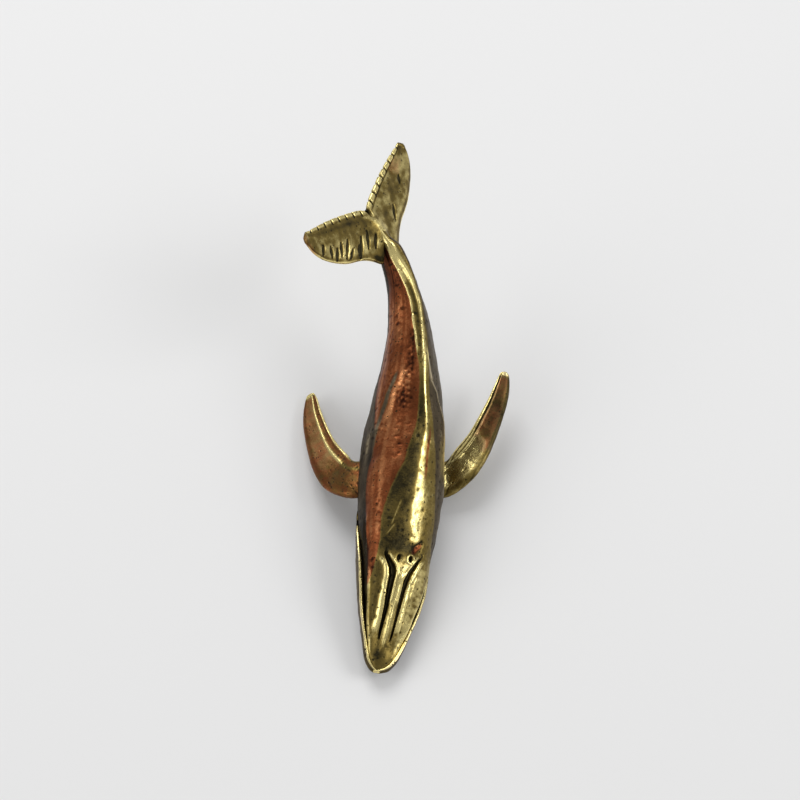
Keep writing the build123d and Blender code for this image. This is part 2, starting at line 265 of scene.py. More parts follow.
def cast_brass(name, dark, plain, rubbed):
    """Aged cast brass. The mark relief darkens hollows and brightens what is rubbed, and it also carries
    painted shade and painted highlights. The mark copper turns the metal red and the mark grey dulls it,
    also where grey stands for painted shade. All three borders are ragged, and fine pits lie everywhere."""
    material = bpy.data.materials.new(name)
    material.use_nodes = True
    nodes, links = material.node_tree.nodes, material.node_tree.links
    metal = nodes["Principled BSDF"]
    metal.inputs["Metallic"].default_value = 1.0
    maths = maths_in(material.node_tree)
    place = nodes.new("ShaderNodeTexCoord")

    def mark(word):
        node = nodes.new("ShaderNodeAttribute")
        node.attribute_name = word
        return node.outputs["Fac"]

    def grain(scale, detail, roughness=0.6):
        texture = nodes.new("ShaderNodeTexNoise")
        texture.inputs["Scale"].default_value = scale
        texture.inputs["Detail"].default_value = detail
        texture.inputs["Roughness"].default_value = roughness
        links.new(place.outputs["Object"], texture.inputs["Vector"])
        return texture.outputs["Fac"]

    def spread(value, texture, amount):
        return maths("MULTIPLY_ADD", maths("SUBTRACT", texture, 0.5), amount, value)

    def scaled(value, low, high, to_low=0.0, to_high=1.0):
        node = nodes.new("ShaderNodeMapRange")
        given = {"From Min": low, "From Max": high, "To Min": to_low, "To Max": to_high}
        for word, number in given.items():
            node.inputs[word].default_value = number
        links.new(value, node.inputs["Value"])
        return node.outputs[0]

    def patina(value, low, middle, high):
        dark_stop, plain_stop, rubbed_stop = 0.1, 0.5, 0.92
        node = nodes.new("ShaderNodeValToRGB")
        stops = node.color_ramp.elements
        stops[0].position, stops[0].color = dark_stop, low + (1.0,)
        stops[1].position, stops[1].color = rubbed_stop, high + (1.0,)
        stops.new(plain_stop).color = middle + (1.0,)
        links.new(value, node.inputs[0])
        return node.outputs[0]

    def mixed(share, first, second):
        node = nodes.new("ShaderNodeMix")
        node.data_type = "RGBA"
        share_socket, first_socket, second_socket = node.inputs[0], node.inputs[6], node.inputs[7]
        for socket, value in ((share_socket, share), (first_socket, first), (second_socket, second)):
            if isinstance(value, tuple):
                socket.default_value = value + (1.0,)
            else:
                links.new(value, socket)
        return node.outputs[2]

    cloud = grain(scale=240.0, detail=5.0)
    mottle = grain(scale=1000.0, detail=4.0, roughness=0.65)
    fine = grain(scale=5200.0, detail=3.0)
    wear_and_light = maths("MULTIPLY_ADD", mark("relief"), 0.5, 0.5)
    wear_and_light = spread(spread(spread(wear_and_light, cloud, 0.35), mottle, 0.30), fine, 0.35)
    red = scaled(spread(spread(mark("copper"), mottle, 0.6), cloud, 0.5), low=0.3, high=0.7)
    dull = scaled(spread(spread(mark("grey"), mottle, 0.7), cloud, 0.6), low=0.3, high=0.7)
    colour = patina(wear_and_light, dark, plain, rubbed)
    colour = mixed(dull, colour, patina(wear_and_light, grey_dark, grey_plain, grey_rubbed))
    colour = mixed(red, colour, patina(wear_and_light, copper_dark, copper_plain, copper_rubbed))
    cells = nodes.new("ShaderNodeTexVoronoi")
    cells.inputs["Scale"].default_value = 1500.0
    links.new(place.outputs["Object"], cells.inputs["Vector"])
    pit_spots = scaled(cells.outputs["Distance"], low=0.13, high=0.26, to_low=1.0, to_high=0.0)
    pitted_areas = maths("GREATER_THAN", grain(scale=640.0, detail=2.0), 0.52)
    pits = maths("MULTIPLY", pit_spots, pitted_areas)
    links.new(mixed(pits, colour, dark), metal.inputs["Base Color"])
    rough = spread(scaled(wear_and_light, low=0.2, high=0.9, to_low=0.42, to_high=0.25), fine, 0.2)
    rough = maths("MULTIPLY_ADD", dull, 0.12, rough)
    links.new(maths("MULTIPLY_ADD", pits, 0.3, rough), metal.inputs["Roughness"])
    height = maths("MULTIPLY_ADD", fine, 0.5, maths("MULTIPLY", mottle, 0.9))
    skin = nodes.new("ShaderNodeBump")
    skin.inputs["Strength"].default_value = 0.35
    skin.inputs["Distance"].default_value = 0.12 * mm
    links.new(maths("SUBTRACT", height, maths("MULTIPLY", pits, 0.9)), skin.inputs["Height"])
    links.new(skin.outputs[0], metal.inputs["Normal"])
    return material


brass_dark = (0.030, 0.025, 0.012)
brass_plain = (0.205, 0.147, 0.040)
brass_rubbed = (0.86, 0.72, 0.30)
copper_dark = (0.034, 0.011, 0.006)
copper_plain = (0.190, 0.056, 0.020)
copper_rubbed = (0.62, 0.27, 0.11)
grey_dark = (0.024, 0.018, 0.012)
grey_plain = (0.105, 0.080, 0.048)
grey_rubbed = (0.58, 0.49, 0.32)

# The skin is a net of rows along the body and columns round it. The columns stand closer together
# on the upper side. The skin is tucked in where it meets the lower jaw.
head_rows, tail_rows, columns = 230, 236, 200
upper_side = 105.0
belly_crowding = 0.3
tuck_depth = 0.05
tuck_end = 12.3
at = np.concatenate((np.linspace(1.0, 8.0, head_rows, endpoint=False), np.linspace(8.0, 17.0, tail_rows)))
even_turns = np.linspace(-180, 180, 721)
crowding = np.where(np.abs(even_turns[:-1]) < upper_side, 1.0, belly_crowding)
crowded = np.concatenate(([0.0], np.cumsum(crowding)))
turn_degrees = np.interp(np.arange(columns) / columns, crowded / crowded[-1], even_turns)
middle, left, up, _ = body_frame(at)
side, rise = ring_sides(at, np.radians(turn_degrees)[None, :], jaw_step)
degrees = np.broadcast_to(turn_degrees, side.shape)
place = np.broadcast_to(at[:, None], side.shape)
mouth_degrees = np.degrees(np.arccos(np.clip(through(mouth_shares, at), -1, 1)))[:, None]
tuck = rising(np.abs(degrees), mouth_degrees + 1.0, mouth_degrees + 7.0) * (place < tuck_end)
side = side * (1 - tuck_depth * tuck)
rise = rise * (1 - tuck_depth * tuck)
points = skin_points(middle, left, up, side, rise)
normals = outward(points)
lateral = side / mm
station = np.broadcast_to(middle[:, 1][:, None] / mm, side.shape)


def line(stations, values):
    """Places read along a line drawn on the skin, at each row of the casting."""
    return np.interp(station[:, 0], stations, values)[:, None]


# The ridge to the nose, forked into a guard round the two blowholes, with a deep groove on each side.
# Every feature is a shape, its height in millimetres, and how much it brightens or darkens the metal.
ridge = between(station, -12.5, -2.2, 1.5) * hill(lateral, -0.25, 0.34)
left_groove_line = line((-13.0, -10.3, -6.9, -4.2, -2.4, -1.2, -0.2, 0.6),
                        (-1.0, -1.15, -1.15, -1.4, -1.45, -1.75, -2.5, -3.1))
right_groove_line = line((-13.0, -10.5, -7.2, -4.1, -2.8, -1.4, 0.1, 1.0),
                         (0.55, 0.70, 0.78, 0.75, 0.85, 1.25, 2.05, 2.8))
left_groove_width = line((-12.0, -8.0, -5.0, -3.5, -1.0, 0.5), (0.12, 0.22, 0.34, 0.42, 0.50, 0.2))
right_groove_width = line((-12.0, -8.0, -5.0, -2.5, -1.0, 0.8), (0.10, 0.16, 0.26, 0.40, 0.42, 0.15))
groove = between(station, -10.6, 0.2, 1.6) * np.maximum(
    trough(lateral, left_groove_line, left_groove_width),
    0.9 * trough(lateral, right_groove_line, right_groove_width))
left_guard_line = line((-6.0, -2.8, -1.6, -0.7, 0.1, 0.9), (-0.80, -0.93, -0.90, -1.35, -2.1, -2.6))
right_guard_line = line((-6.0, -2.6, -1.9, -0.9, 0.3, 1.2), (0.30, 0.20, 0.42, 0.92, 1.60, 2.2))
guard = between(station, -5.6, 0.3, 0.8) * np.maximum(
    hill(lateral, left_guard_line, 0.16), hill(lateral, right_guard_line, 0.16))
guard_top = between(station, -2.0, 0.2, 1.4) * between(lateral, left_guard_line, right_guard_line, 0.2)
holes = np.maximum(well((station - 0.3) / 0.40, (lateral + 1.1) / 0.26),
                   well((station - 0.35) / 0.40, (lateral - 0.75) / 0.26))
hole_rim = hill(np.hypot(station - 0.35, (lateral - 0.75) * 1.2), 0.62, 0.16)
features = [
    (ridge, 0.36, 0.75),
    (groove, -0.62, -1.6),
    (guard, 0.22, 1.0),
    (guard_top, 0.16, 0.35),
    (holes, -0.55, -2.4),
    (hole_rim, 0.14, 0.7),
]

# Rubbed banks beside the grooves, and the mottled flats outside them.
bank_reach = between(station, -9.2, -0.8, 1.6)
groove_bank = bank_reach * np.maximum(
    hill(lateral, left_groove_line - 0.85, 0.40), hill(lateral, right_groove_line + 0.66, 0.38))
bank_edge = bank_reach * hill(lateral, right_groove_line + 1.15, 0.12)
right_flat = between(station, -12.0, -1.5, 1.5) * between(lateral, right_groove_line + 1.2, 3.6, 0.4)
left_flat = between(station, -12.0, -1.0, 1.5) * between(
    lateral, left_groove_line - 2.6, left_groove_line - 1.5, 0.5)
nose_shade = hill(station, -13.4, 1.2) * hill(lateral, -0.5, 0.8)
features += [
    (groove_bank, 0.08, 1.35),
    (bank_edge, -0.05, -0.5),
    (right_flat, 0.0, 0.30),
    (right_flat * uneven(points, 0.0012, 9, 2), 0.0, 0.35),
    (left_flat, 0.0, -0.45),
    (nose_shade, 0.0, -0.7),
]

# The flat plate of the upper jaw ends in a raised edge above the mouth. Painted shade darkens the skin
# below that edge.
plate_reach = half_width_at(at, jaw_step) / mm
plate = between(station, -12.5, -2.0, 2.5) * (np.abs(degrees) < 90)
shade_under_plate = between(station, -15.0, 5.0, 1.0) * between(np.abs(degrees), 76.0, 110.0, 8.0)
features += [
    (plate * hill(np.abs(lateral), 0.93 * plate_reach, 0.22), 0.20, 0.0),
    (plate * hill(np.abs(lateral), 0.93 * plate_reach, 0.16), 0.0, 0.7),
    (plate * hill(np.abs(lateral), 0.68 * plate_reach, 0.6), -0.16, 0.0),
    (shade_under_plate, 0.0, -1.3),
]

# Long eye slits behind the corners of the mouth.
slit = hill(station, 4.0, 1.7) * hill(np.abs(degrees), 81.0, 3.2)
lid = hill(station, 4.0, 2.1) * hill(np.abs(degrees), 74.0, 2.6)
features += [(lid, 0.20, 0.9), (slit, -0.45, -1.6)]

# A broken notch and two scratches behind the blowholes.
notch = well((station - 2.1) / 1.05, (lateral - 1.65 - 0.6 * (station - 2.1)) / 0.62)
notch_edge = hill(station, 2.4 + 0.9 * (lateral - 1.2), 0.20) * between(lateral, 0.8, 2.2, 0.2)
notch_bead = hill(station, 3.3, 0.5) * hill(lateral, 0.4, 0.35)
scratch = hill(lateral, -2.9 + 0.17 * (station - 5.6), 0.10) * between(station, 5.2, 8.6, 0.5)
scratch += hill(lateral, -3.0 + 0.5 * (station - 4.2), 0.10) * between(station, 3.6, 4.9, 0.3)
features += [
    (notch, -0.22, -0.1),
    (notch_edge, -0.12, -1.6),
    (notch_bead, 0.0, 0.8),
    (scratch, 0.05, 0.9),
]

# The crest: a filed line along the tail stock that widens into a bright band over the shoulders. The
# band is partly rubbed metal and partly a painted highlight.
crest_line = line((2.6, 5.4, 8.5, 11.2, 13.6, 18.3, 21.4, 26.5, 32.0, 36.0, 38.8, 41.8, 44.0, 46.0),
                  (11.0, 5.0, 1.5, 1.0, 0.5, 0.0, 2.0, -2.0, -5.0, -4.0, -3.0, -11.0, -25.0, -38.0))
crest_width = line((1.6, 2.6, 5.4, 8.5, 13.6, 18.3, 21.4, 26.5, 34.0, 38.8, 41.8, 45.0),
                   (2.0, 7.0, 9.0, 8.5, 6.0, 4.0, 2.2, 1.8, 3.2, 4.4, 6.0, 9.0))
crest = hill(degrees, crest_line, crest_width) * rising(station, 1.2, 2.6)
features += [
    (hill(degrees, crest_line, 5.0) * rising(station, 14.0, 24.0), 0.12, 0.0),
    (crest, 0.0, 0.72),
    (crest * rising(station, 20.0, 28.0), 0.0, 0.68),
    (crest * uneven(points, 0.0011, 7, 2), 0.0, 0.35),
]

# The filed band to the right of the crest on the tail stock, and its second edge.
band_line = line((31.0, 33.4, 36.4, 39.1, 41.0, 44.0, 46.0),
                 (-16.0, -19.0, -25.0, -27.0, -34.0, -53.0, -66.0))
band_middle = (crest_line + band_line) / 2
stock = rising(station, 30.0, 34.0)
features += [
    (stock * hill(degrees, band_line, 4.0), 0.10, 0.0),
    (stock * hill(degrees, band_line, 2.2), 0.0, 1.3),
    (stock * hill(degrees, band_middle, 6.5), -0.12, 0.0),
    (stock * hill(degrees, band_middle, 7.0), 0.0, -0.55),
    (rising(station, 40.0, 44.5) * between(degrees, band_line, crest_line, 4.0), 0.0, 1.45),
]

# The small fin, with a pitted hollow on its right and a rough patch ahead of that.
fin = hill(station, 31.6, 2.2) * hill(degrees, -4.0, 7.0)
hollow = between(station, 29.5, 34.0, 2.0) * hill(degrees, -29.0, 6.0)
rough_patch = hill(station, 26.0, 2.4) * hill(degrees, -38.0, 13.0)
features += [
    (fin, 0.34, 0.3),
    (hollow, -0.26, -0.55),
    (rough_patch, 0.0, -0.2),
    (uneven(points, 0.00085, 5, 2) * (hollow + rough_patch), 0.07, 0.9),
]

# A faint ridge runs down the left flank with a painted highlight along it, and a painted highlight
# lies on the copper of the right one.
highlight_reach = between(station, 15.0, 31.0, 2.0)
ridge_highlight_line = line((18.0, 18.9, 22.9, 24.4, 26.7, 28.2, 32.0), (52.0, 51.0, 47.0, 39.0, 27.0, 14.0, 4.0))
shine_line = line((22.0, 26.4, 29.5), (-62.0, -52.0, -36.0))
features += [
    (highlight_reach * hill(degrees, ridge_highlight_line, 4.0), 0.08, 0.0),
    (highlight_reach * hill(degrees, ridge_highlight_line, 2.0), 0.0, 0.9),
    (between(station, 23.0, 28.5, 2.0) * hill(degrees, shine_line, 5.0), 0.0, 0.75),
]

# Copper-red on the right flank, in the notch and beside the crest. Grey on the left flank and below the
# copper, and a painted shade, grey, along a line in the copper.
copper_top = line((-4.5, -3.5, -2.3, 0.5, 2.4, 5.8, 8.0, 10.7, 12.9, 14.8,
                   18.9, 22.2, 28.1, 33.4, 36.4, 39.1, 41.0, 44.0, 46.0),
                  (-80.0, -66.0, -60.0, -52.0, -47.0, -48.0, -45.0, -39.0, -32.0, -25.0,
                   -20.0, -15.0, -13.0, -19.0, -25.0, -27.0, -34.0, -53.0, -66.0))
copper_foot = line((-4.0, 4.2, 8.0, 15.2, 20.0, 24.0, 31.0, 46.0),
                   (-70.0, -77.0, -79.0, -76.0, -77.0, -92.0, -106.0, -112.0))
grey_top = line((-12.0, -2.0, 2.0, 5.8, 9.0, 13.0, 18.0, 21.5, 26.0, 33.0, 41.0, 46.0),
                (95.0, 70.0, 50.0, 38.0, 29.0, 22.0, 19.0, 12.0, 3.0, 3.0, 4.0, -14.0))
fold_line = line((14.0, 19.4, 22.9, 26.4, 29.5), (-78.0, -76.0, -72.0, -64.0, -50.0))
fold_shade = between(station, 17.0, 28.0, 3.0) * hill(degrees, fold_line, 6.0)
copper = between(degrees, copper_foot + 3.0, copper_top - 2.0 - 3.0 * stock, 7.0 - 3.0 * stock)
copper = copper * rising(station, -5.0, -3.5)
beside_crest = between(station, 14.0, 20.0, 3.0) * hill(degrees, crest_line + 8.0, 3.0)
copper = np.maximum(copper, np.maximum(0.85 * notch, 0.72 * beside_crest)) * (1 - 0.8 * fold_shade)
left_grey = rising(degrees, grey_top, grey_top + 8.0)
right_grey = 1 - rising(degrees, copper_foot, copper_foot + 6.0)
grey = np.maximum(np.maximum(left_grey, right_grey) * rising(station, -6.0, -2.0), fold_shade)

# Painted shade darkens the metal between the copper and the crest, along the foot of the copper, under
# the tail stock and low on the right flank. The flanks are streaked, and a painted highlight lies on a
# spot low on the right one.
painted_olive_shade = between(station, 2.0, 30.0, 3.0) * between(degrees, copper_top + 5.0, crest_line - crest_width, 5.0)
foot_shade = hill(degrees, copper_foot - 2.0, 3.0) * rising(station, -3.0, 0.0)
stock_shade = rising(station, 38.0, 44.0) * rising(band_line - 3.0 - degrees, 0.0, 6.0)
streak = uneven(np.stack((degrees * 0.6, station * 0.12, 0 * station), axis=-1), 6.0, 8, 2)
low_flank = 1 - rising(degrees, copper_foot - 3.0, copper_foot + 3.0)
features += [
    (painted_olive_shade * rising(crest_line - copper_top, 6.0, 14.0), 0.0, -0.62),
    (foot_shade, 0.0, -0.25),
    (stock_shade, 0.0, -0.55),
    (streak * np.maximum(copper, grey), 0.0, 0.18),
    (grey, 0.0, -0.10),
    (low_flank * hill(station, 17.5, 2.6) * hill(degrees, -91.0, 5.0), 0.0, 1.1),
    (low_flank * (degrees > -120.0), 0.0, -0.4),
]

# Soft waves and shallow pocks of the cast skin, which stays just clear of the table, and painted shade
# where the skin is tucked in against the lower jaw.
table_gap = 0.03 * mm
wave = 0.085 * uneven(points, 0.0075, 3) + 0.03 * uneven(points, 0.0026, 4)
pock = np.minimum(uneven(points, 0.0011, 6, 2) + 0.6, 0.0)
features += [
    (wave * rising(station, -16.0, -12.0), 1.0, 0.0),
    (wave, 0.0, 1.6),
    (pock, 0.10, 0.8),
    (tuck, 0.0, -0.8),
]
height, relief = laid(features)
relief = limited(relief)
fade = rising(place, 1.0, 1.6) * (1 - 0.9 * rising(place, 16.3, 17.0))
points = points + normals * (height * fade * mm)[..., None]
points[..., 2] = np.maximum(points[..., 2], table_gap)

# The last rows are kept as a collar, which the root of the fluke lays over them.
collar_rows = 14
collar_lift = 0.02 * mm
slope_rows = 6
stock_slope = (points[-1] - points[-slope_rows]) / np.linalg.norm(middle[-1] - middle[-slope_rows])
collar_heights = np.linspace(-collar_lift, collar_lift, collar_rows)
collar = points[-collar_rows:] + outward(points)[-collar_rows:] * collar_heights[:, None, None]
collar_relief = relief[-collar_rows:]
collar_copper = copper[-collar_rows:]
collar_grey = grey[-collar_rows:]
back = tube_object("back", points, {"relief": relief, "copper": copper, "grey": grey})
back.data.materials.append(cast_brass("back brass", brass_dark, brass_plain, brass_rubbed))
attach(back, "root")
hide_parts("back_casting")

# Throat casting. Lower jaw of solid brass with a raised lip round the upper one. It is brazed under
# the back, cut with long pleats, and ground flat where it lies on the table.
lip_rise = 0.6 * mm
lip_thickness = 0.5 * mm
lip_shares = (1.0, 1.0, 1.0, 1.0, 1.0, 1.0, 1.0, 0.7, 0.0, 0, 0, 0, 0, 0, 0, 0, 0, 0)
lip_least = 0.1 * mm
palate_drop = 0.3 * mm
throat_gap = 0.02 * mm
palate_shade = -1.3
outer_columns, wall_columns, floor_columns = 220, 3, 10
jaw_rows, chest_rows = 220, 110
at = np.concatenate((np.linspace(0.0, 8.0, jaw_rows, endpoint=False), np.linspace(8.0, 12.0, chest_rows)))
middle, left, up, _ = body_frame(at)
half_width = half_width_at(at, 0.0)
belly = half_depth_at(at, belly_shares)
mouth = np.clip(through(mouth_shares, at), -1, 1)[:, None] * belly
lift = (np.clip(through(lip_shares, at), 0, 1) * lip_rise)[:, None]
start = np.arccos(np.clip((mouth + lift) / belly, -0.9999, 0.9999))
share = np.linspace(0, 1, outer_columns)[None, :]
turns = start + (2 * math.pi - 2 * start) * share
outer_side = half_width * np.sin(turns)
outer_rise = belly * np.cos(turns)
wall_top = outer_rise[:, -1:]
wall_foot = np.minimum(mouth, wall_top) - palate_drop
wall_side = outer_side[:, -1:] + np.clip(half_width * 0.5, 0, lip_thickness)
wall_side = np.repeat(wall_side, wall_columns, axis=1)
wall_rise = wall_top + (wall_foot - wall_top) * np.linspace(0, 1, wall_columns)[None, :]
floor_side = wall_side[:, -1:] * (1 - 2 * np.linspace(0, 1, floor_columns + 2)[None, 1:-1])
floor_rise = np.repeat(wall_rise[:, -1:], floor_columns, axis=1)
side = np.concatenate((outer_side, wall_side, floor_side, -wall_side[:, ::-1]), axis=1)
rise = np.concatenate((outer_rise, wall_rise, floor_rise, wall_rise[:, ::-1]), axis=1)
points = skin_points(middle, left, up, side, rise)
normals = unit(points - middle[:, None])
outside = np.zeros(side.shape)
outside[:, :outer_columns] = 1.0
all_turns = np.zeros(side.shape)
all_turns[:, :outer_columns] = turns
wave = (0.06 * uneven(points, 0.007, 13) + 0.03 * uneven(points, 0.0024, 14)) * outside
points = points + normals * (wave * mm)[..., None]
points[..., 2] = np.maximum(points[..., 2], throat_gap)
station = np.broadcast_to(middle[:, 1][:, None] / mm, side.shape)
from_back = np.degrees(np.minimum(all_turns, 2 * math.pi - all_turns))
pleated = between(station, -9.0, 19.0, 4.5) * outside * rising(from_back, 103.0, 112.0)
ground = (1 - rising(points[..., 2], 0.03 * mm, 0.12 * mm)) * outside
lip_edge = np.zeros(side.shape)
lip_edge[:, :outer_columns] = (1 - rising(np.minimum(share, 1 - share), 0.002, 0.010)) * (lift > lip_least)
lip_edge[:, outer_columns] = lip_edge[:, -1] = lift[:, 0] > lip_least
lip_edge[:, outer_columns + 2:-2] = palate_shade
throat = tube_object("throat", points, {
    "relief": limited(lip_edge * 1.2 + wave * 1.6 + ground * 0.5 - 0.32),
    "copper": np.zeros(side.shape),
    "grey": 0.55 * outside * (1 - ground),
    "across": np.degrees(all_turns) / 360.0,
    "zone": pleated * (1 - ground),
})


def cut_rows(piece, label, material, count, depth, sharpness, way):
    """Cuts a row of like grooves or nicks into a piece, counted along its mark across."""
    groove_shade = 2.6
    tree = bpy.data.node_groups.new(label, "GeometryNodeTree")
    tree.interface.new_socket("Geometry", in_out="INPUT", socket_type="NodeSocketGeometry")
    given_values = {
        "Count": ("NodeSocketFloat", count),
        "Depth": ("NodeSocketFloat", depth),
        "Sharpness": ("NodeSocketFloat", sharpness),
        "Way": ("NodeSocketVector", way),
        "Material": ("NodeSocketMaterial", material),
    }
    sockets = {}
    for word, (kind, _) in given_values.items():
        sockets[word] = tree.interface.new_socket(word, in_out="INPUT", socket_type=kind)
    tree.interface.new_socket("Geometry", in_out="OUTPUT", socket_type="NodeSocketGeometry")
    nodes, links = tree.nodes, tree.links
    given = nodes.new("NodeGroupInput")
    result = nodes.new("NodeGroupOutput")
    maths = maths_in(tree)

    def mark(word):
        node = nodes.new("GeometryNodeInputNamedAttribute")
        node.data_type = "FLOAT"
        node.inputs["Name"].default_value = word
        return node.outputs["Attribute"]

    def vectors(operation, first, second):
        node = nodes.new("ShaderNodeVectorMath")
        node.operation = operation
        links.new(first, node.inputs[0])
        target = node.inputs["Scale"] if operation == "SCALE" else node.inputs[1]
        if isinstance(second, (int, float)):
            target.default_value = second
        else:
            links.new(second, target)
        return node.outputs[0]

    turned = maths("MULTIPLY", maths("MULTIPLY", mark("across"), given.outputs["Count"]), 2 * math.pi)
    groove = maths("MULTIPLY", maths("ADD", maths("COSINE", turned), 1.0), 0.5)
    groove = maths("MULTIPLY", maths("POWER", groove, given.outputs["Sharpness"]), mark("zone"))
    normal = nodes.new("GeometryNodeInputNormal")
    pushed = vectors("ADD", vectors("SCALE", normal.outputs[0], -1.0), given.outputs["Way"])
    moved = nodes.new("GeometryNodeSetPosition")
    links.new(given.outputs["Geometry"], moved.inputs["Geometry"])
    push = vectors("SCALE", pushed, maths("MULTIPLY", groove, given.outputs["Depth"]))
    links.new(push, moved.inputs["Offset"])
    shade = nodes.new("GeometryNodeStoreNamedAttribute")
    shade.data_type = "FLOAT"
    shade.domain = "POINT"
    shade.inputs["Name"].default_value = "relief"
    links.new(moved.outputs[0], shade.inputs["Geometry"])
    shaded = maths("SUBTRACT", mark("relief"), maths("MULTIPLY", groove, groove_shade))
    links.new(shaded, shade.inputs["Value"])
    real = nodes.new("GeometryNodeRealizeInstances")
    links.new(shade.outputs[0], real.inputs[0])
    finish = nodes.new("GeometryNodeSetMaterial")
    links.new(real.outputs[0], finish.inputs["Geometry"])
    links.new(given.outputs["Material"], finish.inputs["Material"])
    links.new(finish.outputs[0], result.inputs[0])
    modifier = piece.modifiers.new(label, "NODES")
    modifier.node_group = tree
    for word, (_, value) in given_values.items():
        modifier[sockets[word].identifier] = value
    bpy.context.view_layer.update()
    ready = piece.evaluated_get(bpy.context.evaluated_depsgraph_get())
    mesh = bpy.data.meshes.new_from_object(ready)
    piece.modifiers.clear()
    old = piece.data
    piece.data = mesh
    bpy.data.meshes.remove(old)


throat_metal = cast_brass("throat brass", brass_dark, brass_plain, brass_rubbed)
cut_rows(throat, "pleats", throat_metal, count=30.0, depth=0.28 * mm, sharpness=2.2, way=(0.0, 0.0, 0.0))
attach(throat, "root")
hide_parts("throat_casting")

# Flippers. Two thin blades of cast brass, brazed on under the flanks. Each has a raised rim along
# its trailing edge and a line engraved beside it.
flipper_length = 20.2 * mm
flipper_chord = 5.1 * mm
flipper_thickness = 1.7 * mm
flipper_bury = 3.6 * mm
lead_along_shares = (-0.14, 0.02, 0.14, 0.3, 0.46, 0.62, 0.78, 0.91, 0.985)
lead_out_shares = (0.3, 0.78, 0.93, 0.96, 0.88, 0.76, 0.58, 0.34, 0.12)
trail_along_shares = (0.12, 0.2, 0.3, 0.43, 0.56, 0.69, 0.82, 0.92, 0.985)
trail_out_shares = (-0.4, -0.25, -0.16, -0.06, -0.04, -0.05, -0.09, -0.13, -0.1)
thickness_shares = (1.1, 1.0, 0.95, 0.9, 0.85, 0.8, 0.7, 0.55, 0.35)
thinnest = 0.3 * mm


def blade_points(front, back_edge, face, thickness, columns):
    """A leaf-shaped tube between a leading and a trailing edge. Gives the points, their share of the
    chord, which face they lie on and which way that face looks."""
    loop = np.arange(columns) / columns * 2 * math.pi
    chord_share = 0.5 - 0.5 * np.cos(loop)
    bulge = np.sign(np.sin(loop)) * (np.abs(np.sin(loop)) ** 0.75) * (1.12 - 0.35 * chord_share)
    chord = back_edge - front
    flat = unit(face - unit(chord) * np.sum(face * unit(chord), axis=-1, keepdims=True))
    points = (front[:, None] + chord[:, None] * chord_share[None, :, None]
              + flat[:, None] * (thickness[:, None] / 2 * bulge[None, :])[..., None])
    return (points, np.broadcast_to(chord_share, points.shape[:2]),
            np.broadcast_to(np.sign(bulge), points.shape[:2]), flat)


